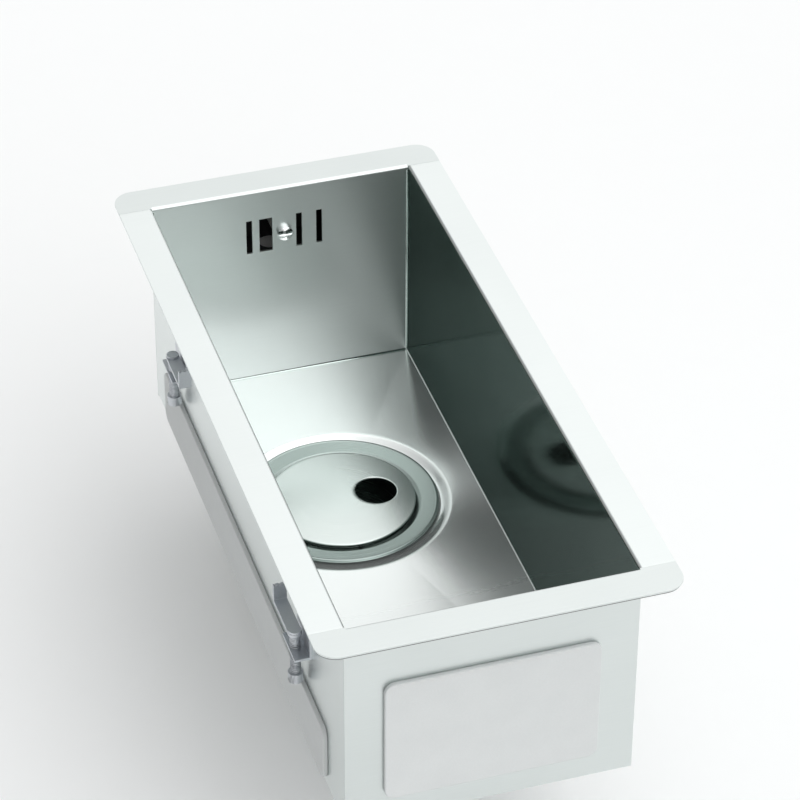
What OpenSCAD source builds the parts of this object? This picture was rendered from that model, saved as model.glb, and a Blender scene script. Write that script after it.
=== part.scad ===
// Single-bowl inset sink with square corners, a basket waste and an overflow.
// Millimetres. +Z is up, +Y runs to the overflow wall, +X to the right.
// Origin: middle of the bowl opening, on the worktop that the rim rests on.

/* [Bowl] */
// Width of the bowl inside, left to right
bowl_w = 160; // [150:1:200]
// Length of the bowl inside, front to back
bowl_l = 400; // [380:1:450]
// Depth from the top of the flange to the edge of the floor
bowl_depth = 137.5; // [130:0.5:180]
// Thickness of the stainless sheet
sheet = 1.2; // [1:0.1:1.5]
// Inside radius of the folds
fold_r = 0.8; // [0.5:0.1:2]
// Fall of the floor from its edges to the waste
floor_fall = 2; // [1:0.5:3]

/* [Flange] */
// Width of the flange along the long sides
side_flange = 20; // [19:0.5:30]
// Width of the flange along the short ends
end_flange = 21.5; // [19:0.5:30]
// Radius of the flange's outer corners
corner_r = 12; // [5:1:18]
// Thickness of the sealing strip when it is squeezed
seal_t = 1; // [0.5:0.5:3]
// Width of the sealing strip
seal_w = 7; // [5:0.5:7]

/* [Waste] */
// Place of the waste left or right of the middle
waste_x = -2.5; // [-6:0.5:2]
// Place of the waste towards the overflow wall
waste_y = 68.5; // [60:0.5:80]
// Outer diameter of the waste's ring
ring_d = 116; // [114:1:118]
// Diameter of the hole in the floor
waste_hole_d = 90; // [90:0.5:91]
// Diameter of the cover plate
cover_d = 88.6; // [86:0.2:90]
// Rise of the cover plate's dome
cover_rise = 1.6; // [1:0.1:2]
// Diameter of the finger hole
finger_d = 25; // [22:0.5:26]
// Distance of the finger hole from the cover plate's middle
finger_offset = 21.5; // [18:0.5:24]
// Outer diameter of the outlet's pipe thread
outlet_d = 47.8; // [47:0.1:48]
// Length of the outlet's pipe thread
outlet_l = 20; // [16:1:24]

/* [Overflow] */
// Height of each overflow slot
slot_h = 23.6; // [18:0.2:26]
// Depth of the slots' middle below the flange
slot_drop = 32.6; // [30:0.2:40]
// Diameter of the overflow screw's head
screw_head_d = 9.5; // [8:0.5:11]
// Outer diameter of the overflow hose
hose_d = 21; // [20:0.5:21]
// Radius of the hose's bend
hose_bend_r = 45; // [40:1:50]

/* [Fixing clips] */
// Distance of the clips from the middle of the bowl
clip_y = 130; // [110:5:140]
// Length of a clip arm from its screw to its claw
arm_l = 30; // [25:1:34]
// Width of a clip arm
arm_w = 7.6; // [6:0.2:7.8]

/* [Hidden] */
$fn = 64;

// Levels
flange_z = seal_t;
top_z = seal_t + sheet;
floor_z = top_z - bowl_depth;
ring_z = floor_z - 1.3;
overflow_z = top_z - slot_drop;
half_w = bowl_w / 2;
half_l = bowl_l / 2;
outer_w = half_w + side_flange;
outer_l = half_l + end_flange;
fold_out = fold_r + sheet;
eps = 0.01;

// Waste, with heights counted down from the ring's crest
ring_r = ring_d / 2;
cup_t = 0.8;
seat_drop = 3.5;
recess_r = ring_r + 2;
recess_top_r = ring_r + 10;
rim_drop = seat_drop + sheet + 2;
shelf_drop = 5;
cup_floor_drop = 34;
well_r = 24;
well_drop = 44;
body_r = 50;
body_wall = 2.5;
body_depth = 44;
outlet_bore_r = outlet_d / 2 - 3;
outlet_top_drop = 58;
basket_gap = 0.3;
basket_drop = 26;
boss_r = 8;
boss_l = 16;
bridge_t = 3;
bolt_r = 2.95;
insert_r = 5;
thread_gap = 0.05;

// Hose and its couplings
hose_r = hose_d / 2;
hose_wall = 2;
collar_gap = 0.1;
collar_r = hose_r + 1.9;
collar_l = 13;
nut_r = 15;
nut_start = 2;
seal_l = 2.5;
nut_l = 16;
hose_y = half_l + sheet + 0.8 + nut_r;
hose_z = ring_z - 26.4;

// Overflow housing and the pattern of slots, counted from the pattern's middle
overflow_x = 1.5;
slots = [[-22, 3.7], [-11.6, 8.2], [9.3, 3.7], [22, 3.7]];
gasket_t = 2;
housing_w = 66;
housing_h = 36;
housing_wall = 2;
housing_y = half_l + sheet + gasket_t;
housing_d = hose_y + hose_r - hose_wall + housing_wall - housing_y;
housing_bottom = overflow_z - housing_h / 2;

// Fixing clips
clip_z = -66;
clip_x = half_w + sheet + 6.2;
bracket_t = 1.5;
bracket_w = 24;
bracket_h = 22;
shelf_out = 9.8;
clip_screw_r = 2.95;
clip_neck_r = 2.2;
clip_head_r = 4.2;
arm_t = 2;
arm_z = clip_z + 8;
claw_h = 12;

// ---------- shared shapes ----------

// Rectangle with round corners, centred
module rounded_rect(w, l, r) {
    square([w, l - 2 * r], center = true);
    square([w - 2 * r, l], center = true);
    for (x = [-1, 1], y = [-1, 1])
        translate([x * (w / 2 - r), y * (l / 2 - r)]) circle(r);
}

// Quarter of a bent sheet, in the first quadrant
module quarter_fold() {
    intersection() {
        difference() {
            circle(fold_out);
            circle(fold_r);
        }
        square(fold_out);
    }
}

// Puts a shape drawn on +Z at the middle of the waste, at a drop below its ring
module at_waste(drop = 0) {
    translate([waste_x, waste_y, ring_z - drop]) children();
}

// Flat tube standing on z = 0
module tube(r_out, r_in, h) {
    difference() {
        cylinder(r = r_out, h = h);
        translate([0, 0, -eps]) cylinder(r = r_in, h = h + 2 * eps);
    }
}

// ---------- bowl ----------

// One side's flange, fold, wall and lower fold, drawn with x out and y up
module side_profile() {
    translate([half_w + fold_out, flange_z]) square([side_flange - fold_out, sheet]);
    translate([half_w + fold_out, flange_z - fold_r]) rotate(90) quarter_fold();
    translate([half_w, floor_z + fold_r])
        square([sheet, flange_z - floor_z - 2 * fold_r]);
    translate([half_w - fold_r, floor_z + fold_r]) rotate(-90) quarter_fold();
}

// Slab that follows the floor's four falling facets, its top shifted down by drop
module floor_slab(drop, thick) {
    x = half_w - fold_r;
    top = [[-x, -half_l, floor_z - drop], [x, -half_l, floor_z - drop],
           [x, half_l, floor_z - drop], [-x, half_l, floor_z - drop],
           [waste_x, waste_y, floor_z - floor_fall - drop]];
    polyhedron(
        points = concat(top, [for (p = top) p - [0, 0, thick]]),
        faces = [[1, 0, 4], [2, 1, 4], [3, 2, 4], [0, 3, 4],
                 [5, 6, 9], [6, 7, 9], [7, 8, 9], [8, 5, 9],
                 [0, 1, 6, 5], [1, 2, 7, 6], [2, 3, 8, 7], [3, 0, 5, 8]]);
}

// Shallow dish that the ring sits in; grow thickens it outwards and down
module recess(grow) {
    depth = floor_z - ring_z + seat_drop;
    at_waste(seat_drop + grow)
        cylinder(r1 = recess_r + grow / 2, r2 = recess_top_r + grow / 2, h = depth + grow);
}

module side_floor_sheet() {
    color("gainsboro") {
        for (side = [0, 1]) mirror([side, 0, 0])
            translate([0, half_l, 0]) rotate([90, 0, 0])
                linear_extrude(bowl_l) side_profile();
        difference() {
            union() {
                floor_slab(0, sheet);
                intersection() {
                    recess(sheet);
                    floor_slab(0, 20);
                }
            }
            recess(0);
            at_waste(20) cylinder(d = waste_hole_d, h = 30);
        }
    }
}

// Outline of an end flange, with its wall side on y = 0
module end_flange_outline() {
    translate([-outer_w + corner_r, fold_out])
        square([2 * (outer_w - corner_r), end_flange - fold_out]);
    translate([-outer_w, fold_out])
        square([2 * outer_w, end_flange - fold_out - corner_r]);
    for (side = [-1, 1]) {
        translate([side * (outer_w - corner_r), end_flange - corner_r]) intersection() {
            circle(corner_r);
            translate([-corner_r, 0]) square([2 * corner_r, corner_r]);
        }
        translate([side > 0 ? half_w : -outer_w, 0]) square([side_flange, fold_out]);
    }
}

// End wall with its folded flange, drawn on the overflow side
module end_panel() {
    translate([-half_w - sheet, half_l, floor_z - sheet])
        cube([bowl_w + 2 * sheet, sheet, flange_z - fold_r - floor_z + sheet]);
    translate([-half_w, half_l + fold_out, flange_z - fold_r])
        rotate([90, 0, 90]) linear_extrude(bowl_w) rotate(90) quarter_fold();
    translate([0, half_l, flange_z]) linear_extrude(sheet) end_flange_outline();
}

module back_panel() {
    color("silver") difference() {
        end_panel();
        for (s = slots)
            translate([overflow_x + s[0] - s[1] / 2, half_l - 1, overflow_z - slot_h / 2])
                cube([s[1], sheet + 2, slot_h]);
        translate([overflow_x, half_l - 1, overflow_z])
            rotate([-90, 0, 0]) cylinder(r = 2.8, h = sheet + 2);
    }
}

module front_panel() {
    color("silver") mirror([0, 1, 0]) end_panel();
}

module rim_seal() {
    edge = 0.5;
    color("dimgray") linear_extrude(seal_t) difference() {
        rounded_rect(2 * (outer_w - edge), 2 * (outer_l - edge), corner_r - edge);
        rounded_rect(2 * (outer_w - edge - seal_w), 2 * (outer_l - edge - seal_w),
                     corner_r - edge - seal_w);
    }
}

// ---------- sound-deadening pads ----------

pad_t = 3;
pad_r = 6;
side_pad_h = 36;
side_pad_l = 340;
front_pad_w = 120;
front_pad_h = 80;

// Pad on a long wall
module side_pad() {
    translate([half_w + sheet, 0, floor_z + 5 + side_pad_h / 2])
        rotate([90, 0, 90]) linear_extrude(pad_t) rounded_rect(side_pad_l, side_pad_h, pad_r);
}

module left_pad() {
    color("lightgray") mirror([1, 0, 0]) side_pad();
}

module right_pad() {
    color("lightgray") side_pad();
}

module front_pad() {
    color("lightgray") translate([0, -half_l - sheet, floor_z + 15 + front_pad_h / 2])
        rotate([90, 0, 0]) linear_extrude(pad_t) rounded_rect(front_pad_w, front_pad_h, pad_r);
}

module floor_pad() {
    front = -half_l + 15;
    back = waste_y - recess_top_r - 6;
    color("lightgray") intersection() {
        floor_slab(sheet, pad_t);
        translate([0, (front + back) / 2, floor_z - 20])
            linear_extrude(30) rounded_rect(bowl_w - 30, back - front, pad_r);
    }
}

// ---------- fixing clips ----------

// Puts a clip drawn at the right front, its arm pointing at +Y, in its corner
module clip_corner(left, back) {
    mirror([left, 0, 0]) mirror([0, back, 0]) translate([clip_x, -clip_y, 0]) children();
}

// L-shaped bracket, spot-welded to the wall, with a tapped hole in its shelf
module clip_bracket() {
    wall_x = half_w + sheet - clip_x;
    translate([wall_x, -bracket_w / 2, clip_z - bracket_t]) difference() {
        union() {
            cube([bracket_t, bracket_w, bracket_h]);
            cube([shelf_out, bracket_w, bracket_t]);
        }
        translate([-wall_x, bracket_w / 2, -1])
            cylinder(r = clip_screw_r + thread_gap, h = bracket_t + 2);
    }
}

module clip_brackets() {
    color("darkgray") for (left = [0, 1], back = [0, 1])
        clip_corner(left, back) clip_bracket();
}

// Jacking screw: slotted head below, thread, neck for the arm, riveted top
module clip_screw() {
    head_h = 6;
    slot_w = 1.4;
    low_z = clip_z - 18;
    color("gray") union() {
        translate([0, 0, low_z]) cylinder(r = clip_screw_r, h = arm_z - low_z);
        translate([0, 0, arm_z]) cylinder(r = clip_neck_r, h = arm_t + 0.2);
        translate([0, 0, arm_z + arm_t + 0.1]) cylinder(r = 3.6, h = 1.4);
        difference() {
            translate([0, 0, low_z - head_h]) cylinder(r = clip_head_r, h = head_h);
            translate([-6, -slot_w / 2, low_z - head_h - 1]) cube([12, slot_w, 3]);
        }
    }
}

module clip_screw_left_front() { clip_corner(1, 0) clip_screw(); }
module clip_screw_left_back() { clip_corner(1, 1) clip_screw(); }
module clip_screw_right_front() { clip_corner(0, 0) clip_screw(); }
module clip_screw_right_back() { clip_corner(0, 1) clip_screw(); }

// Swinging arm with a toothed claw that bites under the worktop
module clip_arm() {
    tooth = arm_w / 4;
    color("lightsteelblue") difference() {
        union() {
            translate([0, 0, arm_z + 0.05]) cylinder(d = arm_w, h = arm_t);
            translate([-arm_w / 2, 0, arm_z + 0.05]) cube([arm_w, arm_l, arm_t]);
            translate([-arm_w / 2, arm_l - arm_t, arm_z + 0.05]) cube([arm_w, arm_t, claw_h]);
        }
        translate([0, 0, arm_z - 1]) cylinder(r = clip_neck_r + thread_gap, h = arm_t + 2);
        for (x = [-1, 0, 1])
            translate([x * tooth * 1.4, arm_l, arm_z + claw_h + 0.7])
                rotate([0, 45, 0]) cube([tooth, 3 * arm_t, tooth], center = true);
    }
}

module clip_arm_left_front() { clip_corner(1, 0) clip_arm(); }
module clip_arm_left_back() { clip_corner(1, 1) clip_arm(); }
module clip_arm_right_front() { clip_corner(0, 0) clip_arm(); }
module clip_arm_right_back() { clip_corner(0, 1) clip_arm(); }

// ---------- overflow ----------

// Turns a shape drawn on +Z so that it points at +Y, at the overflow's middle
module on_overflow(y) {
    translate([overflow_x, y, overflow_z]) rotate([-90, 0, 0]) children();
}

module overflow_gasket() {
    color("dimgray") on_overflow(half_l + sheet) linear_extrude(gasket_t) difference() {
        union() {
            difference() {
                rounded_rect(housing_w, housing_h, 6);
                rounded_rect(housing_w - 10, housing_h - 10, 3);
            }
            circle(6);
            square([4, housing_h - 6], center = true);
        }
        circle(3);
    }
}

screw_boss_r = 6;

// Shallow box behind the slots, with a boss for the screw and a socket for the hose
module overflow_housing() {
    insert_l = 10;
    color("whitesmoke") difference() {
        union() {
            difference() {
                on_overflow(housing_y) linear_extrude(housing_d)
                    rounded_rect(housing_w, housing_h, 6);
                on_overflow(housing_y - eps) linear_extrude(housing_d - housing_wall)
                    rounded_rect(housing_w - 2 * housing_wall, housing_h - 2 * housing_wall, 4);
            }
            on_overflow(housing_y) cylinder(r = screw_boss_r, h = housing_d - eps);
            translate([waste_x, hose_y, housing_bottom - collar_l + 0.5])
                tube(collar_r, hose_r + collar_gap, collar_l);
        }
        on_overflow(housing_y - 1) cylinder(r = insert_r - 1 + thread_gap, h = insert_l + 1 + thread_gap);
        translate([waste_x, hose_y, housing_bottom - 1])
            cylinder(r = hose_r - hose_wall, h = housing_wall + 2);
    }
}

module overflow_insert() {
    color("goldenrod") on_overflow(housing_y) tube(insert_r - 1, 2.5, 10);
}

// Screw with a polished domed head and a slot, seen inside the bowl
module overflow_screw() {
    head_r = screw_head_d / 2;
    head_h = 4;
    dome_h = 1.4;
    dome_r = (head_r * head_r + dome_h * dome_h) / (2 * dome_h);
    color("silver") union() {
        on_overflow(half_l - eps) cylinder(r = 2.45, h = sheet + gasket_t + 9);
        difference() {
            on_overflow(half_l - head_h) intersection() {
                cylinder(r = head_r, h = head_h);
                translate([0, 0, dome_r]) sphere(r = dome_r, $fn = 64);
            }
            translate([overflow_x - head_r, half_l - head_h - 1, overflow_z - 0.6])
                cube([2 * head_r, 2.2, 1.2]);
        }
    }
}

// Hose from the housing straight down, round a bend and forward to the waste
module overflow_hose() {
    top = housing_bottom - nut_start;
    bend_z = hose_z + hose_bend_r;
    bend_y = hose_y - hose_bend_r;
    end_y = waste_y + body_r - 1 + nut_start;
    color("lightgray") {
        translate([waste_x, hose_y, bend_z]) tube(hose_r, hose_r - hose_wall, top - bend_z);
        translate([waste_x, bend_y, bend_z]) rotate([0, 90, 0]) rotate_extrude(angle = 90)
            translate([hose_bend_r, 0]) difference() {
                circle(hose_r);
                circle(hose_r - hose_wall);
            }
        translate([waste_x, end_y, hose_z]) rotate([-90, 0, 0])
            tube(hose_r, hose_r - hose_wall, bend_y - end_y);
    }
}

// Coupling nut over a collar whose root is at z = 0
module hose_nut() {
    translate([0, 0, nut_start]) difference() {
        cylinder(r = nut_r, h = nut_l);
        translate([0, 0, -eps])
            cylinder(r = collar_r + collar_gap, h = collar_l + seal_l - nut_start);
        cylinder(r = hose_r + collar_gap, h = nut_l + 1);
    }
}

module hose_seal() {
    translate([0, 0, collar_l]) tube(collar_r, hose_r + collar_gap, seal_l - eps);
}

module at_upper_collar() {
    translate([waste_x, hose_y, housing_bottom + 0.5]) rotate([180, 0, 0]) children();
}

module at_lower_collar() {
    translate([waste_x, waste_y + body_r - 1, hose_z]) rotate([-90, 0, 0]) children();
}

module hose_nut_upper() { color("whitesmoke") at_upper_collar() hose_nut(); }
module hose_nut_lower() { color("whitesmoke") at_lower_collar() hose_nut(); }
module hose_seal_upper() { color("black") at_upper_collar() hose_seal(); }
module hose_seal_lower() { color("black") at_lower_collar() hose_seal(); }

// ---------- waste ----------

// Ring and cup pressed from one sheet, with a stepped well that holds the bolt
module strainer_cup() {
    holes = 8;
    color("silver") at_waste() difference() {
        rotate_extrude() polygon([
            [ring_r, -1.6], [ring_r, -0.5], [ring_r - 1, 0],
            [47.5, -1.4], [43.6, -2.6], [41.8, -shelf_drop], [38.6, -shelf_drop],
            [37.6, -cup_floor_drop], [well_r + 0.5, -cup_floor_drop - 1.5],
            [well_r, -well_drop], [0, -well_drop], [0, -well_drop - cup_t],
            [well_r + cup_t, -well_drop - cup_t],
            [well_r + 0.5 + cup_t, -cup_floor_drop - 1.5 - cup_t],
            [37.6 + cup_t, -cup_floor_drop - cup_t], [38.6 + cup_t, -shelf_drop - cup_t],
            [42.3, -shelf_drop - cup_t], [44.3, -3.4], [47.5, -2.2],
            [ring_r - cup_t, -0.85], [ring_r - cup_t, -1.6]]);
        translate([0, 0, -well_drop - 2]) {
            cylinder(r = bolt_r + 0.15, h = 4);
            for (i = [0 : holes - 1]) rotate(i * 360 / holes)
                translate([15.5, 0, 0]) cylinder(r = 4, h = 4);
        }
    }
}

module cup_seal() {
    color("dimgray") at_waste() rotate_extrude() polygon([
        [48, -seat_drop], [56, -seat_drop], [56, -1.1], [48, -2.2]]);
}

module body_seal() {
    color("black") at_waste(rim_drop) tube(55, 45.5, 2);
}

// Plastic body that hangs under the floor, with the overflow's inlet and the outlet
module waste_body() {
    inner_r = body_r - body_wall;
    outlet_end = outlet_top_drop + outlet_l;
    color("whitesmoke") at_waste() difference() {
        union() {
            rotate_extrude() polygon([
                [inner_r, -rim_drop], [55, -rim_drop], [55, -rim_drop - 3],
                [body_r, -rim_drop - 3], [body_r, -body_depth - 1],
                [outlet_d / 2, -outlet_top_drop], [outlet_d / 2, -outlet_end],
                [outlet_bore_r, -outlet_end], [outlet_bore_r, -outlet_top_drop + 2],
                [inner_r, -body_depth]]);
            translate([0, 0, -well_drop - cup_t - boss_l]) cylinder(r = boss_r, h = boss_l);
            intersection() {
                translate([-40, -bridge_t / 2, -outlet_top_drop]) cube([80, bridge_t, 9]);
                translate([0, 0, -outlet_top_drop])
                    cylinder(r1 = outlet_bore_r + 1, r2 = outlet_bore_r + 18, h = 9);
            }
            translate([0, body_r - 1, hose_z - ring_z]) rotate([-90, 0, 0])
                cylinder(r = collar_r, h = collar_l);
        }
        translate([0, 0, -well_drop - cup_t - boss_l + 2])
            cylinder(r = insert_r + thread_gap, h = boss_l);
        translate([0, body_r - 1, hose_z - ring_z]) rotate([-90, 0, 0])
            cylinder(r = hose_r + collar_gap, h = collar_l + 1);
        translate([0, 44, hose_z - ring_z]) rotate([-90, 0, 0])
            cylinder(r = hose_r - hose_wall, h = 10);
    }
}

module clamp_insert() {
    color("goldenrod") at_waste(well_drop + cup_t + boss_l - 2.1)
        tube(insert_r, bolt_r + thread_gap, boss_l - 2.2);
}

module clamp_bolt() {
    head_h = 3.6;
    color("silver") at_waste(well_drop) difference() {
        union() {
            cylinder(r = 5.2, h = head_h);
            translate([0, 0, -13]) cylinder(r = bolt_r, h = 13 + eps);
        }
        translate([-6, -0.7, head_h - 1.6]) cube([12, 1.4, 2]);
    }
}

// ---------- basket ----------

basket_t = 0.8;
basket_rim_r = 41.2;
stem_r = 3;

module basket() {
    lift = -shelf_drop + basket_gap;
    color("silver") at_waste() difference() {
        rotate_extrude() polygon([
            [basket_rim_r, lift], [basket_rim_r, lift + basket_t], [36.4, lift + basket_t],
            [33.6, -basket_drop], [0, -basket_drop], [0, -basket_drop - basket_t],
            [34.2, -basket_drop - basket_t], [37, lift]]);
        translate([0, 0, -basket_drop - 2]) {
            cylinder(r = stem_r + thread_gap, h = 4);
            for (ring = [2 : 4], i = [0 : 6 * ring - 1])
                rotate(i * 60 / ring) translate([7 * ring, 0, 0]) cylinder(r = 1.7, h = 4);
        }
    }
}

module plug_seal() {
    seat = cup_floor_drop + 0.7;
    color("black") at_waste() rotate_extrude() polygon([
        [stem_r + thread_gap, -seat], [28, -seat], [28.8, -seat + 1.2], [27.5, -seat + 3.2],
        [9, -seat + 4.6], [8, -basket_drop - basket_t], [stem_r + thread_gap, -basket_drop - basket_t]]);
}

// Rod through the plug and basket, with a nut below and a knob above
module basket_stem() {
    seat = cup_floor_drop + 0.7;
    color("silver") at_waste() rotate_extrude() polygon([
        [0, -seat - 2.6], [6, -seat - 2.6], [6, -seat], [stem_r, -seat],
        [stem_r, -14], [6.5, -11.5], [7, -9.5], [6, -8], [3.2, -7.2], [0, -7]]);
}

// ---------- cover plate ----------

cover_r = cover_d / 2;
cover_t = 1.1;
cover_drop = 0.6;
dome_r = (cover_r * cover_r + cover_rise * cover_rise) / (2 * cover_rise);

// Height of the dome above its edge at distance r from the middle
function dome(r) = sqrt(dome_r * dome_r - r * r) - dome_r + cover_rise;

module cover_plate() {
    steps = 8;
    radii = [for (i = [0 : steps]) cover_r * i / steps];
    color("gainsboro") at_waste(cover_drop) difference() {
        rotate_extrude($fn = 96) polygon(concat(
            [for (r = radii) [r, dome(r)]],
            [for (i = [steps : -1 : 0]) [radii[i], dome(radii[i]) + cover_t]]));
        translate([finger_offset, 0, -1]) cylinder(d = finger_d, h = 6);
    }
}

// Three rubber feet that stand on the basket's rim
module cover_feet() {
    foot_x = 37.8;
    foot_r = 1.4;
    bottom = -shelf_drop + basket_t + 2 * basket_gap;
    color("black") at_waste() for (turn = [30, 150, 270]) rotate(turn)
        translate([foot_x, 0, bottom])
            cylinder(r = foot_r, h = dome(foot_x + foot_r) - cover_drop - bottom);
}

side_floor_sheet();
back_panel();
front_panel();
rim_seal();
left_pad();
right_pad();
front_pad();
floor_pad();
clip_brackets();
clip_screw_left_front();
clip_screw_left_back();
clip_screw_right_front();
clip_screw_right_back();
clip_arm_left_front();
clip_arm_left_back();
clip_arm_right_front();
clip_arm_right_back();
overflow_gasket();
overflow_housing();
overflow_insert();
overflow_screw();
overflow_hose();
hose_nut_upper();
hose_nut_lower();
hose_seal_upper();
hose_seal_lower();
strainer_cup();
cup_seal();
body_seal();
waste_body();
clamp_insert();
clamp_bolt();
basket();
plug_seal();
basket_stem();
cover_plate();
cover_feet();
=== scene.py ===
"""A narrow inset sink in brushed stainless sheet: finished surfaces, light and camera."""

import math

import bmesh
import bpy
from mathutils import Matrix, Vector


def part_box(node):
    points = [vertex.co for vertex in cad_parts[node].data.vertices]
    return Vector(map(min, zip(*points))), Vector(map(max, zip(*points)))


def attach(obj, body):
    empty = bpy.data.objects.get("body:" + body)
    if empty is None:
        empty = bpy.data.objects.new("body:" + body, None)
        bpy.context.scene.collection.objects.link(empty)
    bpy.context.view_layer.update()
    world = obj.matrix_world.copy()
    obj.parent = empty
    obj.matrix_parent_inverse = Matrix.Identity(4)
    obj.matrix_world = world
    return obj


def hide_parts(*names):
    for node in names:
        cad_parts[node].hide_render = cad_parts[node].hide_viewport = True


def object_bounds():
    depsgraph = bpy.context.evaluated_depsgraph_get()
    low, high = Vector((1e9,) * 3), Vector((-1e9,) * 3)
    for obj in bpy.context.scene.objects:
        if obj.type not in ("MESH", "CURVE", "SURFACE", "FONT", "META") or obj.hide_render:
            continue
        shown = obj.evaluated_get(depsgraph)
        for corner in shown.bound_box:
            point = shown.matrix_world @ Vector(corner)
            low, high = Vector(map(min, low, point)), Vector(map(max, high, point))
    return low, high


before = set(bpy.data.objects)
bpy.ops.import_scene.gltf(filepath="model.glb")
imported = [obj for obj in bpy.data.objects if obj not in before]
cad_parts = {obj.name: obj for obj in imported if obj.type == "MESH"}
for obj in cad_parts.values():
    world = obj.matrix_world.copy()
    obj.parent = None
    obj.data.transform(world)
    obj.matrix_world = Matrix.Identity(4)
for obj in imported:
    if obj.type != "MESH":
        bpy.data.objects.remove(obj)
cad_low, cad_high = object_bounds()

MM = 0.001
SHEET = 1.2


def cad(node):
    """Lowest and highest corners of a CAD node, in millimetres."""
    low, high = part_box(node)
    return Vector(low) / MM, Vector(high) / MM


# ---------- sizes, read from the frame ----------

sides_high = cad("side_floor_sheet")[1]
back_low, back_high = cad("back_panel")
cup_low, cup_high = cad("strainer_cup")
cover_low, cover_high = cad("cover_plate")
housing_low, housing_high = cad("overflow_housing")
screw_low, screw_high = cad("overflow_screw")
hose_low, hose_high = cad("overflow_hose")
half_l = sides_high.y
half_w = cad("right_pad")[0].x - SHEET
outer_w = back_high.x
end_flange = back_high.y - half_l
top_z = back_high.z
floor_z = back_low.z + SHEET
fold = 0.8
fold_out = fold + SHEET
waste_x = (cup_low.x + cup_high.x) / 2
waste_y = (cup_low.y + cup_high.y) / 2
ring_z = cup_high.z
ring_r = (cup_high.x - cup_low.x) / 2
overflow_x = (screw_low.x + screw_high.x) / 2
overflow_z = (screw_low.z + screw_high.z) / 2
hose_x = (hose_low.x + hose_high.x) / 2
hose_r = (hose_high.x - hose_low.x) / 2


# ---------- node trees written as Python expressions ----------


class Signal:
    """A socket on which Python's operators add Math nodes."""

    def __init__(self, net, socket):
        self.net = net
        self.socket = socket

    def math(self, operation, *values):
        return self.net.node("ShaderNodeMath", {"operation": operation}, values)

    def __add__(self, other):
        return self.math("ADD", self, other)

    def __sub__(self, other):
        return self.math("SUBTRACT", self, other)

    def __rsub__(self, other):
        return self.math("SUBTRACT", other, self)

    def __mul__(self, other):
        return self.math("MULTIPLY", self, other)

    __radd__ = __add__
    __rmul__ = __mul__


class Net:
    """A node tree with one method that adds any node."""

    def __init__(self, tree):
        self.tree = tree

    def node(self, kind, settings=None, values=(), named=None, out=0):
        made = self.tree.nodes.new(kind)
        for key, value in (settings or {}).items():
            setattr(made, key, value)
        for index, value in enumerate(values):
            self.put(made.inputs[index], value)
        for key, value in (named or {}).items():
            self.put(made.inputs[key], value)
        return Signal(self, made.outputs[out]) if len(made.outputs) else made

    def math(self, operation, *values):
        return self.node("ShaderNodeMath", {"operation": operation}, values)

    def put(self, socket, value):
        if isinstance(value, Signal):
            self.tree.links.new(value.socket, socket)
        elif value is not None:
            socket.default_value = value


class Finish(Net):
    """A material on one Principled shader."""

    def __init__(self, name, **constants):
        self.material = bpy.data.materials.new(name)
        self.material.use_nodes = True
        super().__init__(self.material.node_tree)
        self.tree.nodes.clear()
        self.shader = self.tree.nodes.new("ShaderNodeBsdfPrincipled")
        output = self.tree.nodes.new("ShaderNodeOutputMaterial")
        self.tree.links.new(self.shader.outputs[0], output.inputs["Surface"])
        for key, value in constants.items():
            self.shader.inputs[key.replace("_", " ")].default_value = value

    def place(self, origin=(0, 0, 0), scale=(1, 1, 1)):
        """Object coordinates in metres, moved to origin and scaled."""
        coordinates = self.node("ShaderNodeTexCoord", out=3)
        moved = self.node(
            "ShaderNodeVectorMath", {"operation": "SUBTRACT"}, (coordinates, origin)
        )
        return self.node("ShaderNodeVectorMath", {"operation": "MULTIPLY"}, (moved, scale))

    def noise(self, vector, scale, detail=2.0, rough=0.5):
        named = {"Vector": vector, "Scale": scale, "Detail": detail, "Roughness": rough}
        return self.node("ShaderNodeTexNoise", {}, named=named)

    def colour(self, factor, dark, light):
        """Mixes two colours by a factor and feeds the result to Base Color."""
        mixed = self.tree.nodes.new("ShaderNodeMix")
        mixed.data_type = "RGBA"
        self.put(mixed.inputs[0], factor)
        self.put(mixed.inputs[6], (*dark, 1))
        self.put(mixed.inputs[7], (*light, 1))
        self.tree.links.new(mixed.outputs[2], self.shader.inputs["Base Color"])

    def rough(self, value):
        self.put(self.shader.inputs["Roughness"], value)

    def bump(self, height, distance, strength=1.0):
        """Relief whose full height is distance metres."""
        named = {"Height": height, "Distance": distance, "Strength": strength}
        self.put(self.shader.inputs["Normal"], self.node("ShaderNodeBump", {}, named=named))


# ---------- finishes ----------


def brushed_steel(name, grain, dark, light, rough, relief=0.000008, wear=0.0, **constants):
    """Stainless sheet; grain is the axis, 0 to 2, that its brush lines run along.

    Wear is how much rougher the front half is, where dishes stand.
    """
    finish = Finish(name, **{"Metallic": 1.0, **constants})
    across, along = 4000, 40
    scale = [across] * 3
    scale[grain] = along
    lines = finish.noise(finish.place(scale=scale), 1.0, 3.0, 0.6)
    cloud = finish.noise(finish.place(), 14.0, 2.0)
    finish.colour(lines * 0.5 + cloud * 0.5, dark, light)
    level = rough[0] + (rough[1] - rough[0]) * (lines * 0.6 + cloud * 0.6)
    if wear:
        along = finish.node("ShaderNodeSeparateXYZ", {}, (finish.place(),), out=1)
        level = level + finish.node(
            "ShaderNodeMapRange", {"interpolation_type": "SMOOTHSTEP"}, (along, 0.03, -0.1, 0, wear)
        )
    finish.rough(level)
    finish.bump(lines, relief)
    return finish.material


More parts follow.
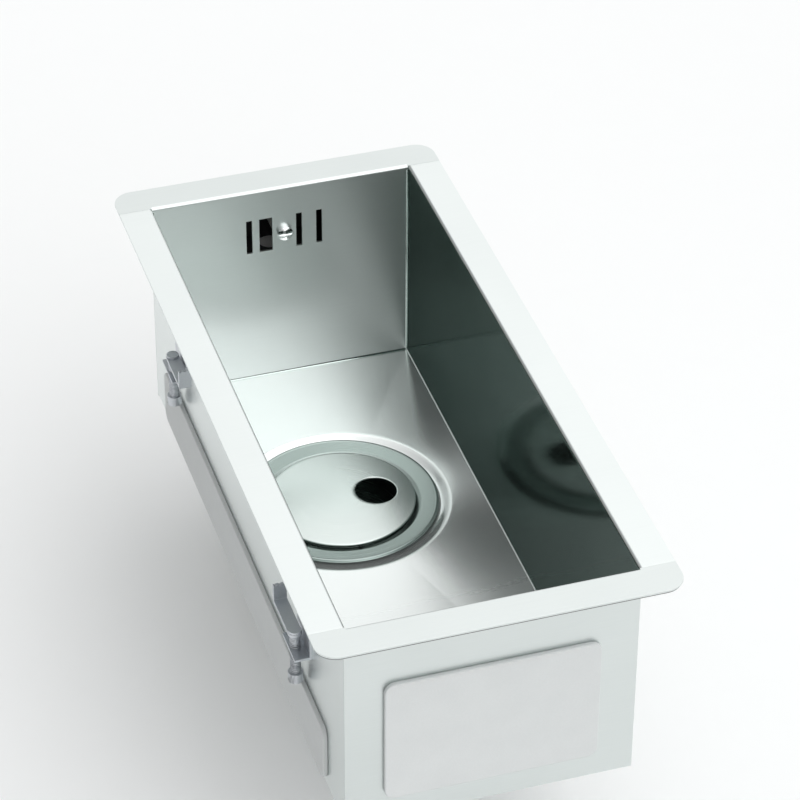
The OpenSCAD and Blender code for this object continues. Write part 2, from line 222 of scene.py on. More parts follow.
def spun_steel(name, dark, light, rough=(0.2, 0.3), relief=0.00001):
    """Steel turned on a lathe, its fine rings centred on the waste."""
    finish = Finish(name, Metallic=1.0)
    centre = (waste_x * MM, waste_y * MM, ring_z * MM)
    flat = finish.place(centre, (1, 1, 0))
    radius = finish.node("ShaderNodeVectorMath", {"operation": "LENGTH"}, (flat,), out=1)
    height = finish.node("ShaderNodeSeparateXYZ", {}, (finish.place(centre),), out=2)
    turned = finish.node("ShaderNodeCombineXYZ", {}, (radius * 2400, height * 2400, 0.0))
    rings = finish.noise(turned, 1.0, 3.0, 0.6)
    cloud = finish.noise(finish.place(), 30.0, 2.0)
    finish.colour(rings * 0.6 + cloud * 0.4, dark, light)
    finish.rough(rough[0] + (rough[1] - rough[0]) * (rings * 0.6 + cloud * 0.6))
    finish.bump(rings, relief)
    return finish.material


def mottled(name, dark, light, scale, rough, relief=0.0, **constants):
    """A plain finish with a fine mottle in colour, gloss and relief."""
    finish = Finish(name, **constants)
    fine = finish.noise(finish.place(), scale, 4.0, 0.6)
    broad = finish.noise(finish.place(), scale / 20, 2.0)
    finish.colour(fine * 0.5 + broad * 0.5, dark, light)
    finish.rough(rough[0] + (rough[1] - rough[0]) * (fine * 0.5 + broad * 0.5))
    if relief:
        finish.bump(fine, relief)
    return finish.material


STEEL_DARK, STEEL_LIGHT = (0.72, 0.76, 0.75), (0.83, 0.87, 0.86)
# A near-black edge tint that darkens the walls' shallow-angle reflections: painted shade.
PAINTED_SHADE_TINT = (0.015, 0.02, 0.02, 1)
# The walls are the same sheet as the floor and flanges but get a much darker colour: painted shade.
wall_steel = brushed_steel(
    "wall_steel", 2, (0.48, 0.54, 0.52), (0.58, 0.64, 0.62), (0.08, 0.14), 0.000002,
    Specular_Tint=PAINTED_SHADE_TINT,
)
# The floor, the same sheet as the walls, gets a lighter colour and a little less metal so it reads
# brighter: painted light.
floor_steel = brushed_steel(
    "floor_steel", 0, (0.78, 0.82, 0.81), (0.88, 0.91, 0.90), (0.13, 0.2), wear=0.2,
    Metallic=0.82,
)
flange_steel = brushed_steel("flange_steel", 0, STEEL_DARK, STEEL_LIGHT, (0.26, 0.36))
# The end walls and their flanges get a darker colour than the side flanges: painted shade.
end_steel = brushed_steel("end_steel", 0, (0.64, 0.68, 0.67), (0.76, 0.80, 0.79), (0.3, 0.4))
# The waste ring and basket get a much darker steel colour than the plate: painted shade.
ring_steel = spun_steel("ring_steel", (0.30, 0.36, 0.34), (0.43, 0.49, 0.47))
plate_steel = spun_steel("plate_steel", (0.58, 0.64, 0.62), (0.72, 0.77, 0.75))
polished_steel = mottled(
    "polished_steel", (0.82, 0.84, 0.84), (0.9, 0.91, 0.91), 900, (0.05, 0.12), Metallic=1.0
)
zinc = mottled(
    "zinc", (0.50, 0.53, 0.57), (0.68, 0.70, 0.72), 700, (0.28, 0.46), 0.00001, Metallic=1.0
)
brass = mottled("brass", (0.66, 0.48, 0.20), (0.80, 0.62, 0.32), 800, (0.25, 0.4), Metallic=1.0)
black_rubber = mottled("black_rubber", (0.018, 0.018, 0.018), (0.04, 0.04, 0.04), 900, (0.55, 0.75))
grey_foam = mottled("grey_foam", (0.14, 0.14, 0.14), (0.24, 0.24, 0.24), 1400, (0.8, 0.95), 0.00005)
damping = mottled("damping", (0.60, 0.62, 0.62), (0.70, 0.72, 0.72), 1100, (0.7, 0.9), 0.00006)
white_plastic = mottled(
    "white_plastic", (0.78, 0.78, 0.76), (0.86, 0.86, 0.84), 1500, (0.38, 0.5), 0.00001
)
# Near-black plastic standing in for the shade inside the overflow housing: painted shade.
dark_plastic = mottled("dark_plastic", (0.004, 0.004, 0.004), (0.01, 0.01, 0.01), 900, (0.6, 0.8))
hose_plastic = mottled("hose_plastic", (0.60, 0.61, 0.60), (0.70, 0.71, 0.70), 600, (0.35, 0.45))


# ---------- mesh helpers ----------


def piece(name, verts, faces, material, outward=False):
    """An object at the origin from points in millimetres."""
    mesh = bpy.data.meshes.new(name)
    mesh.from_pydata([tuple(v * MM for v in p) for p in verts], [], faces)
    made = bpy.data.objects.new(name, mesh)
    bpy.context.scene.collection.objects.link(made)
    mesh.materials.append(material)
    if outward:
        tidy(mesh)
    return made


def tidy(mesh, flat_angle=None):
    """Merges doubled points, joins flat neighbours if asked and turns the faces outwards."""
    work = bmesh.new()
    work.from_mesh(mesh)
    bmesh.ops.remove_doubles(work, verts=work.verts, dist=2e-6)
    if flat_angle:
        bmesh.ops.dissolve_limit(
            work, angle_limit=flat_angle, verts=work.verts, edges=work.edges
        )
    bmesh.ops.recalc_face_normals(work, faces=work.faces)
    work.to_mesh(mesh)
    work.free()


def merge(mesh):
    """Merges doubled points and leaves the faces as they point."""
    work = bmesh.new()
    work.from_mesh(mesh)
    bmesh.ops.remove_doubles(work, verts=work.verts, dist=2e-6)
    work.to_mesh(mesh)
    work.free()


def applied(made, sharp=35):
    """Makes the modifiers' result the object's plain mesh, smooth but with its flats kept flat."""
    keep_result(made)
    made.data.shade_smooth()
    made.data.set_sharp_from_angle(angle=math.radians(sharp))
    made.modifiers.new("flats", "WEIGHTED_NORMAL").keep_sharp = True
    keep_result(made)
    return made


def keep_result(made):
    """Swaps the mesh for the modifiers' result."""
    bpy.context.view_layer.update()
    graph = bpy.context.evaluated_depsgraph_get()
    mesh = bpy.data.meshes.new_from_object(made.evaluated_get(graph))
    made.modifiers.clear()
    made.data = mesh


def thicken(made, thickness, outside_finish=0):
    """Gives a surface its thickness on the side away from its normals."""
    solid = made.modifiers.new("thickness", "SOLIDIFY")
    solid.material_offset = outside_finish
    solid.thickness = thickness * MM
    solid.offset = -1
    solid.use_even_offset = True


def soften(made, width, segments=2, angle=50):
    """Rounds the sharp edges a little."""
    bevel = made.modifiers.new("edges", "BEVEL")
    bevel.width = width * MM
    bevel.segments = segments
    bevel.limit_method = "ANGLE"
    bevel.angle_limit = math.radians(angle)
    bevel.harden_normals = False


def cut(made, cutter):
    """Takes the cutter's shape out of a piece and deletes the cutter."""
    boolean = made.modifiers.new("cut", "BOOLEAN")
    boolean.operation = "DIFFERENCE"
    boolean.solver = "EXACT"
    boolean.object = cutter
    made = applied(made)
    bpy.data.objects.remove(cutter)
    return made


def settle(made, body, slot, *nodes):
    """Rides a piece on its body, in place of its CAD nodes."""
    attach(made, body)
    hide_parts(*nodes)
    return made


def copied(node, material):
    """A merged copy of a CAD node's mesh."""
    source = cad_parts[node]
    made = bpy.data.objects.new(node + "_finished", source.data.copy())
    bpy.context.scene.collection.objects.link(made)
    made.data.materials.clear()
    made.data.materials.append(material)
    tidy(made.data, math.radians(0.5))
    return made


def refined(node, width, material, body, slot):
    """A CAD node's shape with its edges rounded."""
    made = copied(node, material)
    soften(made, width, 2, 40)
    return settle(applied(made, 40), body, slot, node)


def arc(cx, cy, radius, start, end, steps):
    """Points along an arc, angles in degrees."""
    turns = [math.radians(start + (end - start) * i / steps) for i in range(steps + 1)]
    return [(cx + radius * math.cos(a), cy + radius * math.sin(a)) for a in turns]


def rounded(corners, steps=5):
    """A closed outline from (x, y, radius) corners."""
    points = []
    for i, (x, y, radius) in enumerate(corners):
        here = Vector((x, y))
        if not radius:
            points.append((x, y))
            continue
        before = Vector(corners[i - 1][:2]) - here
        after = Vector(corners[(i + 1) % len(corners)][:2]) - here
        reach = radius / math.tan(before.angle(after) / 2)
        reach = min(reach, 0.48 * before.length, 0.48 * after.length)
        start, end = here + before.normalized() * reach, here + after.normalized() * reach
        for k in range(steps + 1):
            t = k / steps
            p = start * (1 - t) ** 2 + here * 2 * t * (1 - t) + end * t**2
            points.append((p.x, p.y))
    return points


def lathe(outline, sides, centre, axis=2):
    """A closed outline of (radius, height) points turned about an axis."""
    verts, rows = [], []
    for radius, height in outline:
        if radius < 1e-6:
            rows.append([len(verts)] * sides)
            verts.append((0.0, 0.0, height))
            continue
        rows.append(range(len(verts), len(verts) + sides))
        for k in range(sides):
            turn = 2 * math.pi * k / sides
            verts.append((radius * math.cos(turn), radius * math.sin(turn), height))
    faces = []
    for i, row in enumerate(rows):
        other = rows[(i + 1) % len(rows)]
        for k in range(sides):
            n = (k + 1) % sides
            loop = list(dict.fromkeys((row[k], row[n], other[n], other[k])))
            if len(loop) > 2:
                faces.append(loop)
    if axis == 1:
        verts = [(x, z, -y) for x, y, z in verts]
    cx, cy, cz = centre
    return [(x + cx, y + cy, z + cz) for x, y, z in verts], faces


def turned(name, outline, sides, centre, material, axis=2):
    """A solid of revolution as a piece."""
    verts, faces = lathe(outline, sides, centre, axis)
    return piece(name, verts, faces, material, outward=True)


# ---------- repeating shapes, as Geometry Nodes ----------


class Repeat(Net):
    """A Geometry Nodes tree whose sizes are named inputs."""

    def __init__(self, name, **sizes):
        super().__init__(bpy.data.node_groups.new(name, "GeometryNodeTree"))
        self.name = name
        self.sizes = sizes
        for way in ("INPUT", "OUTPUT"):
            self.socket("Geometry", way, "NodeSocketGeometry")
        for key, value in sizes.items():
            kind = "NodeSocketInt" if isinstance(value, int) else "NodeSocketFloat"
            self.socket(key, "INPUT", kind)
        self.entry = self.tree.nodes.new("NodeGroupInput")

    def socket(self, name, way, kind):
        return self.tree.interface.new_socket(name, in_out=way, socket_type=kind)

    def size(self, name):
        """A named input, the incoming mesh being Geometry."""
        return Signal(self, self.entry.outputs[name])

    def sweep(self, curve, profile, scale=1.0):
        """A solid along a curve, its ends closed and its profile scaled."""
        return self.node("GeometryNodeCurveToMesh", {}, named={
            "Curve": curve, "Profile Curve": profile, "Scale": scale, "Fill Caps": True
        })

    def moved(self, geometry, place):
        named = {"Geometry": geometry, "Translation": place}
        return self.node("GeometryNodeTransform", {}, named=named)

    def ring(self, shape, count, radius):
        """A shape set count times round a circle, each turned to face outwards."""
        sizes = {"Vertices": count, "Radius": radius}
        circle = self.node("GeometryNodeMeshCircle", {}, named=sizes)
        index = self.node("GeometryNodeInputIndex")
        step = self.math("DIVIDE", 2 * math.pi, count)
        turn = self.node("ShaderNodeCombineXYZ", {}, (0.0, 0.0, index * step))
        return self.node("GeometryNodeInstanceOnPoints", {}, named={
            "Points": circle, "Instance": shape, "Rotation": turn
        })

    def build(self, geometry, base, material):
        """Runs the tree on a base piece and keeps the plain mesh."""
        whole = self.node("GeometryNodeRealizeInstances", {}, named={"Geometry": geometry})
        painted = self.node(
            "GeometryNodeSetMaterial", {}, named={"Geometry": whole, "Material": material}
        )
        leave = self.tree.nodes.new("NodeGroupOutput")
        self.put(leave.inputs[0], painted)
        modifier = base.modifiers.new(self.name, "NODES")
        modifier.node_group = self.tree
        for item in self.tree.interface.items_tree:
            if item.in_out == "INPUT" and item.name in self.sizes:
                modifier[item.identifier] = self.sizes[item.name]
        return applied(base)


def carved(net, cutter):
    """The incoming mesh without the cutter."""
    cutting = net.node("GeometryNodeMeshBoolean", {"operation": "DIFFERENCE", "solver": "EXACT"})
    net.put(cutting.socket.node.inputs["Mesh 1"], net.size("Geometry"))
    net.put(cutting.socket.node.inputs["Mesh 2"], cutter)
    return cutting


def threaded(base, radius, pitch, depth, low, high, centre, material):
    """Cuts a helical groove round the upright through centre, between two levels."""
    turns = (high - low) / pitch
    net = Repeat(
        "thread", Radius=radius * MM, Turns=turns, Rise=(high - low) * MM, Groove=depth * MM
    )
    helix = net.node("GeometryNodeCurveSpiral", {}, named={
        "Resolution": 40, "Rotations": net.size("Turns"), "Height": net.size("Rise"),
        "Start Radius": net.size("Radius"), "End Radius": net.size("Radius"),
    })
    groove = net.node("GeometryNodeCurvePrimitiveCircle", {"mode": "RADIUS"}, named={
        "Resolution": 4, "Radius": net.size("Groove")
    })
    place = (centre[0] * MM, centre[1] * MM, low * MM)
    return net.build(carved(net, net.moved(net.sweep(helix, groove), place)), base, material)


def fluted(base, count, flute_r, reach, length, middle, axis, material):
    """Cuts round flutes along a nut's rim; axis 2 is upright and 1 runs along Y."""
    net = Repeat(
        "flutes", Count=count, Flute=flute_r * MM, Reach=reach * MM, Length=length * MM
    )
    flute = net.node("GeometryNodeMeshCylinder", {}, named={
        "Vertices": 14, "Radius": net.size("Flute"), "Depth": net.size("Length")
    })
    ring = net.ring(flute, net.size("Count"), net.size("Reach"))
    turn = (math.pi / 2 if axis == 1 else 0.0, 0.0, 0.0)
    placed = net.node("GeometryNodeTransform", {}, named={
        "Geometry": net.node("GeometryNodeRealizeInstances", {}, named={"Geometry": ring}),
        "Translation": tuple(v * MM for v in middle), "Rotation": turn,
    })
    return net.build(carved(net, placed), base, material)


def perforated(base, rings, hole_r, depth, centre, material):
    """Drills rings of round holes, (count, radius) each, through a flat floor."""
    net = Repeat("perforations", Hole=hole_r * MM, Depth=depth * MM)
    drill = net.node("GeometryNodeMeshCylinder", {}, named={
        "Vertices": 16, "Radius": net.size("Hole"), "Depth": net.size("Depth")
    })
    join = net.tree.nodes.new("GeometryNodeJoinGeometry")
    for count, radius in rings:
        net.put(join.inputs[0], net.ring(drill, count, radius * MM))
    drills = net.node("GeometryNodeRealizeInstances", {}, named={
        "Geometry": Signal(net, join.outputs[0])
    })
    return net.build(carved(net, net.moved(drills, tuple(v * MM for v in centre))), base, material)


def corrugated(base, radius, depth, pitch, length, material):
    """A ribbed hose along the base's chain of edges."""
    net = Repeat("ribs", Radius=radius * MM, Depth=depth * MM, Pitch=pitch * MM)
    path = net.node("GeometryNodeMeshToCurve", {}, named={"Mesh": net.size("Geometry")})
    samples = round(8 * length / pitch)
    fine = net.node("GeometryNodeResampleCurve", {}, named={"Curve": path, "Count": samples})
    along = net.node("GeometryNodeSplineParameter", out=1)
    wave = net.math("COSINE", net.math("DIVIDE", along, net.size("Pitch")) * (2 * math.pi))
    dip = net.math("SMOOTH_MIN", wave, 0.55, 0.4)
    grown = net.size("Radius") - net.size("Depth") * (0.5 - dip * 0.5)
    unit = net.node("GeometryNodeCurvePrimitiveCircle", {"mode": "RADIUS"}, named={
        "Resolution": 32, "Radius": 1.0
    })
    return net.build(net.sweep(fine, unit, grown), base, material)


# ---------- sheet metal ----------


def side_floor_sheet():
    """Side flanges, walls and the cross-broken floor as one folded sheet."""
    edge_x = half_w - fold
    near_corner = 2
    steps_y = [-half_l + 10 * i for i in range(1, round(half_l / 5))]
    ys = [-half_l, -half_l + near_corner, *steps_y, half_l - near_corner, half_l]
    steps_x = [-edge_x + 9.9 * i for i in range(1, round(2 * edge_x / 9.9))]
    xs = [-edge_x, -edge_x + near_corner, *steps_x, edge_x - near_corner, edge_x]
    profile = [(outer_w, top_z)]
    profile += arc(half_w + fold_out, top_z - fold_out, fold_out, 90, 180, 8)
    profile += arc(edge_x, floor_z + fold, fold, 0, -90, 6)
    verts, faces = [], []
    for side in (1, -1):
        start = len(verts)
        for x, z in profile:
            verts += [(side * x, y, z) for y in ys]
        for i in range(len(profile) - 1):
            for k in range(len(ys) - 1):
                a = start + i * len(ys) + k
                loop = (a, a + 1, a + 1 + len(ys), a + len(ys))
                faces.append(loop if side > 0 else loop[::-1])
    rim = [(x, -half_l) for x in xs] + [(edge_x, y) for y in ys[1:]]
    rim += [(x, half_l) for x in xs[-2::-1]] + [(-edge_x, y) for y in ys[-2:0:-1]]
    hole_r, seat_r, flank_r, last_ring = 45.0, 59.4, 66.0, 75.5
    seat_z = ring_z - 3.5
    fall = 2.3  # from the walls down to the waste
    rings = [hole_r, 50, 55, 58] + [seat_r + 1.15 * i for i in range(14)] + [last_ring - 0.4]
    spread = [0.02, 0.06, 0.12, 0.2, 0.3, 0.4, 0.5, 0.6, 0.7, 0.8, 0.9, 0.96, 1.0]
    start = len(verts)
    for x, y in rim:
        out = Vector((x - waste_x, y - waste_y))
        reach, way = out.length, out.normalized()
        for r in rings + [last_ring + (reach - last_ring) * s for s in spread]:
            z = floor_z - fall * min(1, (reach - r) / (reach - flank_r))
            sink = min(max((flank_r - r) / (flank_r - seat_r), 0), 1)
            z += (seat_z - z) * sink * sink * (3 - 2 * sink)
            verts.append((waste_x + way.x * r, waste_y + way.y * r, z))
    count = len(rings) + len(spread)
    for k in range(len(rim)):
        n = (k + 1) % len(rim)
        for i in range(count - 1):
            a, b = start + k * count + i, start + n * count + i
            faces.append((a, a + 1, b + 1, b))
    made = piece("side_floor_steel", verts, faces, floor_steel)
    outside = [flange_steel] * 3
    for finish in (wall_steel, flange_steel, *outside):
        made.data.materials.append(finish)
    merge(made.data)
    on_floor, on_wall, on_flange = 0, 1, 2
    # Floor faces take the lighter painted-light finish and upright wall faces the darker
    # painted-shade finish.
    for face in made.data.polygons:
        level = on_flange if face.center.z > floor_z * MM / 2 else on_floor
        face.material_index = on_wall if abs(face.normal.z) < 0.5 else level
    thicken(made, SHEET, outside_finish=len(outside))
    soften(made, 0.18)
    return settle(applied(made, 30), "bowl", "bowl_steel", "side_floor_sheet")


SLOTS = [(-22, 3.7), (-11.6, 8.2), (9.3, 3.7), (22, 3.7)]
SLOT_H = 23.6
CORNER_R = 12.0


def end_panel(name, facing, slots):
    """An end wall with its fold and its full-width flange; facing is 1 at the back."""
    slot_edges = [overflow_x + x + s * w / 2 for x, w in slots for s in (-1, 1)]
    xs = sorted([-half_w, half_w, *slot_edges, -60, -40, 40, 60])
    levels = [floor_z - SHEET, top_z - fold_out]
    if slots:
        levels[1:1] = [overflow_z - SLOT_H / 2, overflow_z + SLOT_H / 2]
    verts = [(x, half_l, z) for z in levels for x in xs]
    across = len(xs)
    faces = []
    for i in range(len(levels) - 1):
        for k in range(across - 1):
            middle = (xs[k] + xs[k + 1]) / 2 - overflow_x
            hole = slots and i == 1 and any(abs(middle - x) < w / 2 for x, w in slots)
            if not hole:
                a = i * across + k
                faces.append((a, a + 1, a + 1 + across, a + across))
    start = (len(levels) - 1) * across
    bend = arc(half_l + fold_out, top_z - fold_out, fold_out, 180, 90, 8)[1:]
    for y, z in bend:
        verts += [(x, y, z) for x in xs]
    for i in range(len(bend)):
        for k in range(across - 1):
            a = start + i * across + k
            faces.append((a, a + 1, a + 1 + across, a + across))
    inner = list(range(start + len(bend) * across, start + (len(bend) + 1) * across))
    rim = [(half_w, half_l), (outer_w, half_l)]
    rim += arc(outer_w - CORNER_R, half_l + end_flange - CORNER_R, CORNER_R, 0, 90, 16)
    rim += arc(CORNER_R - outer_w, half_l + end_flange - CORNER_R, CORNER_R, 90, 180, 16)
    rim += [(-outer_w, half_l), (-half_w, half_l)]
    outer = range(len(verts), len(verts) + len(rim))
    verts += [(x, y, top_z) for x, y in rim]
    faces.append([*inner, *outer])
    strips = []
    for side in (-1, 1):
        base = len(verts)
        for z in (levels[0], top_z - fold_out):
            verts += [(side * x, half_l, z) for x in (half_w, half_w + SHEET)]
        strip = (base, base + 1, base + 3, base + 2)
        strips.append(strip if side > 0 else strip[::-1])
    faces += strips
    if facing < 0:
        verts = [(x, -y, z) for x, y, z in verts]
        faces = [list(f)[::-1] for f in faces]
    made = piece(name, verts, faces, end_steel)
    merge(made.data)
    thicken(made, SHEET)
    soften(made, 0.18)
    return applied(made, 30)


def corner_welds():
    """Dressed weld fillets where the end walls meet the side walls and the floor."""
    r = 1.1
    curve = [(0, r)] + arc(r, r, r, 180, 270, 5)[1:-1] + [(r, 0)]
    shape = [(-0.4, r), (-0.4, -0.4), (r, -0.4)]
    outline = curve + shape[::-1]
    verts, faces = [], []

    def strip(place, ends):
        start = len(verts)
        count = len(outline)
        for end in ends:
            verts.extend(place(a, b, end) for a, b in outline)
        for k in range(count):
            n = (k + 1) % count
            faces.append((start + k, start + n, start + count + n, start + count + k))
        faces.append(range(start, start + count))
        faces.append(range(start + count, start + 2 * count))

    for end in (-1, 1):
        strip(
            lambda a, b, x, end=end: (x, end * (half_l - a), floor_z + b),
            (-half_w + fold, half_w - fold),
        )
        for side in (-1, 1):
            strip(
                lambda a, b, z, end=end, side=side: (side * (half_w - a), end * (half_l - b), z),
                (floor_z + fold, top_z - fold_out - 1),
            )
    # The fillets take the walls' darker colour: painted shade in the corners.
    made = piece("corner_welds", verts, faces, wall_steel, outward=True)
    made.data.shade_smooth()
    made.data.set_sharp_from_angle(angle=math.radians(35))
    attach(made, "bowl")
    return made


# ---------- waste ----------


def ring_holes(name, radius, hole_r, count, low, high, centre):
    """Round cutters in a ring."""
    verts, faces = [], []
    for k in range(count):
        turn = 2 * math.pi * k / count
        cx, cy = centre[0] + radius * math.cos(turn), centre[1] + radius * math.sin(turn)
        outline = [(0, low), (hole_r, low), (hole_r, high), (0, high)]
        more, loops = lathe(outline, 20, (cx, cy, centre[2]))
        faces += [[i + len(verts) for i in loop] for loop in loops]
        verts += more
    return piece(name, verts, faces, wall_steel, outward=True)


def strainer_cup():
    """Ring with a rolled edge and the stepped cup below it."""
    r = ring_r
    top = [
        (r, -1.6, 0), (r, -0.1, 0.6), (r - 1.3, 0.0, 0.5), (r - 2.0, -0.25, 0.5),
        (47.6, -1.25, 1.5), (43.6, -2.9, 1.5), (41.8, -5.0, 0.6), (38.6, -5.0, 0.8),
        (37.6, -34.0, 2.5), (24.5, -35.5, 1.2), (24.0, -44.0, 1.2), (3.1, -44.0, 0),
    ]
    under = [
        (3.1, -44.8, 0), (24.8, -44.8, 1.6), (25.3, -36.3, 0.6), (38.4, -34.8, 3.0),
        (39.4, -5.8, 0.4), (42.3, -5.8, 0.8), (44.2, -3.7, 1.0), (47.6, -2.05, 1.5),
        (r - 0.8, -0.9, 0.3), (r - 0.8, -1.6, 0),
    ]
    centre = (waste_x, waste_y, ring_z)
    made = turned("waste_ring_and_cup", rounded(top + under), 128, centre, ring_steel)
    made = cut(made, ring_holes("cutter", 15.5, 4.0, 8, -46, -42, centre))
    soften(made, 0.1, 1, 60)
    return settle(applied(made, 30), "bowl", "spun_steel", "strainer_cup")


def basket():
    """Pressed basket with rings of drain holes in its floor."""
    low, high = cad("basket")
    rim_r, lift, floor_drop = (high.x - low.x) / 2, high.z - ring_z, -26.0
    t = floor_drop - (low.z - ring_z)
    outline = rounded([
        (rim_r, lift - t, 0.3), (rim_r, lift, 0.3), (36.4, lift, 0.9), (33.6, floor_drop, 2.4),
        (3.0, floor_drop, 0), (3.0, floor_drop - t, 0), (34.2, floor_drop - t, 3.0),
        (37.0, lift - t, 0.4),
    ])
    centre = (waste_x, waste_y, ring_z)
    made = turned("basket_steel", outline, 96, centre, ring_steel)
    rings = [(6 * k, 7 * k) for k in (2, 3, 4)]
    drill_at = (waste_x, waste_y, ring_z + floor_drop - t / 2)
    made = perforated(made, rings, 1.7, 4.0, drill_at, ring_steel)
    return settle(made, "basket", "spun_steel", "basket")


HOSE_BEND = 45.0


def overflow_hose():
    """Ribbed hose: down from the overflow, round its bend and in to the waste."""
    y, z = hose_high.y - hose_r, hose_low.z + hose_r
    bend = arc(y - HOSE_BEND, z + HOSE_BEND, HOSE_BEND, 0, -90, 24)
    route = [(y, hose_high.z), *bend, (hose_low.y, z)]
    mesh = bpy.data.meshes.new("overflow_hose_ribbed")
    verts = [(hose_x * MM, y * MM, z * MM) for y, z in route]
    mesh.from_pydata(verts, [(i, i + 1) for i in range(len(route) - 1)], [])
    base = bpy.data.objects.new("overflow_hose_ribbed", mesh)
    bpy.context.scene.collection.objects.link(base)
    length = sum(math.dist(a, b) for a, b in zip(route, route[1:]))
    made = corrugated(base, hose_r, 1.5, 4.2, length, hose_plastic)
    return settle(made, "bowl", "hose_plastic", "overflow_hose")


def overflow_housing():
    """Overflow housing: pale plastic outside; its inner faces are near-black, painted shade."""
    made = copied("overflow_housing", white_plastic)
    made.data.materials.append(dark_plastic)
    middle = (housing_low + housing_high) / 2 * MM
    # Faces turned in towards the middle, inside the cavity, take the near-black painted shade.
    for face in made.data.polygons:
        face.material_index = int((face.center - middle).dot(face.normal) < 0)
    soften(made, 0.6, 2, 40)
    settle(applied(made, 40), "bowl", "white_plastic", "overflow_housing")


def hose_nuts():
    """Coupling nuts with fluted rims."""
    for node, axis in (("hose_nut_upper", 2), ("hose_nut_lower", 1)):
        low, high = cad(node)
        middle = (low + high) / 2
        nut_r = (high.x - low.x) / 2
        made = fluted(copied(node, white_plastic), 20, 1.5, nut_r + 0.6, 40, middle, axis,
                      white_plastic)
        soften(made, 0.25, 2, 40)
        settle(applied(made, 40), "bowl", "white_plastic", node)


def waste_body():
    """Waste housing with its outlet thread."""
    low = cad("waste_body")[0]
    made = copied("waste_body", white_plastic)
    made = threaded(made, 23.9, 2.3, 0.9, low.z - 1.5, low.z + 19, (waste_x, waste_y),
                    white_plastic)
    soften(made, 0.3, 2, 50)
    return settle(applied(made, 40), "bowl", "white_plastic", "waste_body")


def clip_screws():
    """Four jacking screws with cut threads."""
    for corner in CORNERS:
        node = "clip_screw_" + corner
        low, high = cad(node)
        centre = (low + high) / 2
        made = threaded(copied(node, zinc), 2.95, 1.25, 0.5, low.z + 6, high.z - 2.4,
                        (centre.x, centre.y), zinc)
        soften(made, 0.12, 1, 50)
        settle(applied(made, 35), "screw_" + corner, "zinc_plate", node)


def cover_plate():
    """Domed plate whose rings run from the finger hole out to the rim."""
    radius = (cover_high.x - cover_low.x) / 2
    thickness, rise, hole_r, offset = 1.1, 1.6, 12.5, 21.5
    dome = (radius**2 + rise**2) / (2 * rise)
    base = cover_low.z
    sides, steps = 144, 26

    def level(x, y):
        return base + math.sqrt(dome**2 - x * x - y * y) - dome + rise

    def ring(t, hole_grow, rim_shrink, lift):
        points = []
        for k in range(sides):
            turn = 2 * math.pi * k / sides
            c, s = math.cos(turn), math.sin(turn)
            inner = Vector((offset + (hole_r + hole_grow) * c, (hole_r + hole_grow) * s))
            outer = Vector(((radius - rim_shrink) * c, (radius - rim_shrink) * s))
            p = inner.lerp(outer, t)
            points.append((waste_x + p.x, waste_y + p.y, level(p.x, p.y) + lift))
        return points

    edge = 0.35
    rows = [ring(i / steps, edge, edge, thickness) for i in range(steps + 1)]
    rows += [ring(1, 0, edge * 0.3, thickness - edge * 0.3), ring(1, 0, 0, thickness - edge)]
    rows += [ring(1, 0, 0, edge), ring(1, 0, edge, 0)]
    rows += [ring(1 - i / steps, edge, edge, 0) for i in range(1, steps + 1)]
    rows += [ring(0, 0, 0, edge), ring(0, 0, 0, thickness - edge)]
    rows += [ring(0, edge * 0.3, 0, thickness - edge * 0.3)]
    verts = [p for row in rows for p in row]
    faces = []
    for i in range(len(rows)):
        j = (i + 1) % len(rows)
        for k in range(sides):
            n = (k + 1) % sides
            faces.append((i * sides + k, i * sides + n, j * sides + n, j * sides + k))
    made = piece("domed_cover", verts, faces, plate_steel, outward=True)
    made.data.shade_smooth()
    made.data.set_sharp_from_angle(angle=math.radians(50))
    return settle(made, "cover", "plate_steel", "cover_plate")


CORNERS = ("left_front", "left_back", "right_front", "right_back")

side_floor_sheet()
settle(end_panel("back_end_steel", 1, SLOTS), "bowl", "bowl_steel", "back_panel")
settle(end_panel("front_end_steel", -1, []), "bowl", "bowl_steel", "front_panel")
corner_welds()
strainer_cup()
basket()
cover_plate()
overflow_hose()
overflow_housing()
hose_nuts()
waste_body()
clip_screws()

# ---------- simpler nodes, by finish ----------

REFINED = {
    "damping": (damping, "pad_grey", 0.8, ["left_pad", "right_pad", "front_pad", "floor_pad"]),
    "foam": (grey_foam, "grey_foam", 0.25, ["rim_seal", "cup_seal", "overflow_gasket"]),
    "rubber": (black_rubber, "black_rubber", 0.25,
               ["body_seal", "hose_seal_upper", "hose_seal_lower"]),
    "polished": (polished_steel, "polished_steel", 0.3, ["overflow_screw", "clamp_bolt"]),
    "zinc": (zinc, "zinc_plate", 0.25, ["clip_brackets"]),
    "brass": (brass, "insert_brass", 0.2, ["overflow_insert", "clamp_insert"]),
}
for material, slot, width, nodes in REFINED.values():
    for node in nodes:
        refined(node, width, material, "bowl", slot)
refined("plug_seal", 0.3, black_rubber, "basket", "black_rubber")
refined("basket_stem", 0.3, polished_steel, "basket", "polished_steel")
refined("cover_feet", 0.4, black_rubber, "cover", "black_rubber")
for corner in CORNERS:
    refined("clip_arm_" + corner, 0.25, zinc, "arm_" + corner, "zinc_plate")


# ---------- floor, light and camera ----------


def stage_floor():
    """A plain pale floor under the lowest point."""
    reach = 6000
    z = cad_low.z / MM
    verts = [(-reach, -reach, z), (reach, -reach, z), (reach, reach, z), (-reach, reach, z)]
    pale = mottled("pale_floor", (0.86, 0.87, 0.87), (0.88, 0.89, 0.89), 40, (0.85, 0.95))
    made = piece("floor", verts, [(0, 1, 2, 3)], pale)


# Broad soft lights: azimuth, elevation, narrowness and strength.
OVERHEAD = (0, 88, 3, 1.05)
FRONT_RIGHT = (285, 34, 8, 1.1)
# The surround's level on the left and on the right, and where along X one turns into the other.
LEFT_LEVEL, RIGHT_LEVEL = 0.16, 0.84
LEFT_END, RIGHT_END = -0.16, 0.14


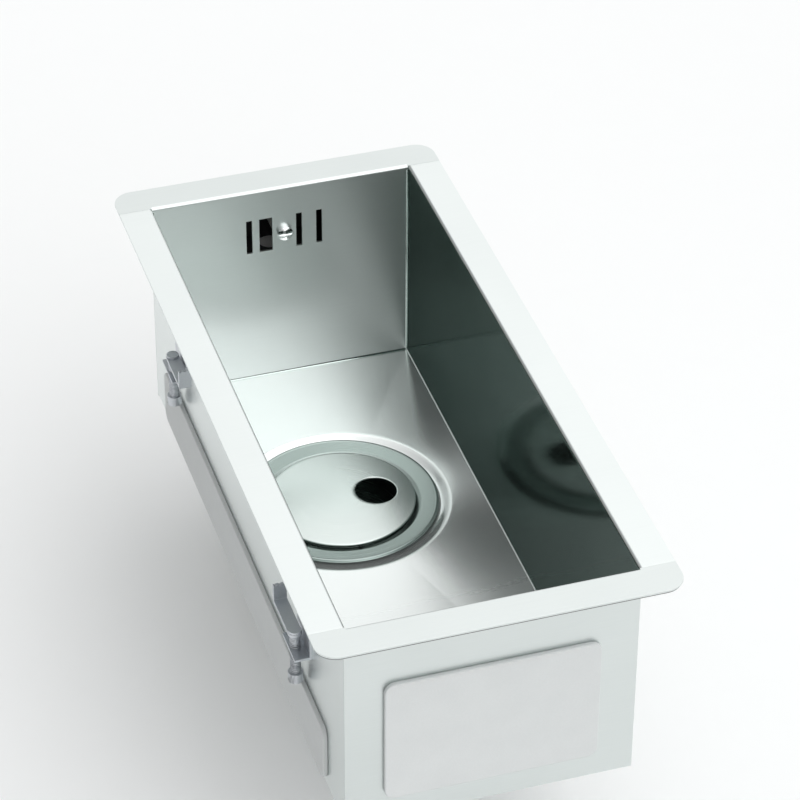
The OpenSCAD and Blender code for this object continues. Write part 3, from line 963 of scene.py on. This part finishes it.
def studio():
    """A surround, bright on the right and dim on the left, with broad soft lights."""
    scene = bpy.context.scene
    scene.world = bpy.data.worlds.new("studio")
    scene.world.use_nodes = True
    net = Net(scene.world.node_tree)
    net.tree.nodes.clear()
    direction = net.node("ShaderNodeTexCoord", out=0)
    sideways = net.node("ShaderNodeSeparateXYZ", {}, (direction,))
    level = net.node("ShaderNodeMapRange", {"interpolation_type": "SMOOTHSTEP"}, (
        sideways, LEFT_END, RIGHT_END, LEFT_LEVEL, RIGHT_LEVEL
    ))
    for azimuth, elevation, narrowness, strength in (OVERHEAD, FRONT_RIGHT):
        turn, rise = math.radians(azimuth), math.radians(elevation)
        way = (math.cos(rise) * math.cos(turn), math.cos(rise) * math.sin(turn), math.sin(rise))
        facing = net.node(
            "ShaderNodeVectorMath", {"operation": "DOT_PRODUCT"}, (direction, way), out=1
        )
        level = level + net.math("EXPONENT", (facing - 1.0) * narrowness) * strength
    seen = net.node("ShaderNodeLightPath", out=0)
    light = net.node("ShaderNodeBackground", {}, ((1, 1, 1, 1), level + seen * (1.0 - level)))
    net.node("ShaderNodeOutputWorld", {}, (light,))
    scene.view_settings.view_transform = "Standard"


def camera():
    """The camera, aimed a little off the middle of the bowl's opening."""
    azimuth, elevation, roll = math.radians(-17.58), math.radians(36.93), math.radians(0.24)
    distance, right_shift, up_shift = 1976.9, -11.56, 13.16
    back = Vector((
        math.sin(azimuth) * math.cos(elevation),
        -math.cos(azimuth) * math.cos(elevation),
        math.sin(elevation),
    ))
    level = Vector((math.cos(azimuth), math.sin(azimuth), 0))
    upright = back.cross(level)
    right = level * math.cos(roll) + upright * math.sin(roll)
    up = upright * math.cos(roll) - level * math.sin(roll)
    data = bpy.data.cameras.new("camera")
    data.lens = 159.4
    data.sensor_width = 36
    made = bpy.data.objects.new("camera", data)
    bpy.context.scene.collection.objects.link(made)
    place = back * distance - right * right_shift - up * up_shift + Vector((0, 0, top_z))
    made.location = place * MM
    made.rotation_mode = "QUATERNION"
    made.rotation_quaternion = Matrix((right, up, back)).transposed().to_quaternion()
    bpy.context.scene.camera = made


stage_floor()
studio()
camera()
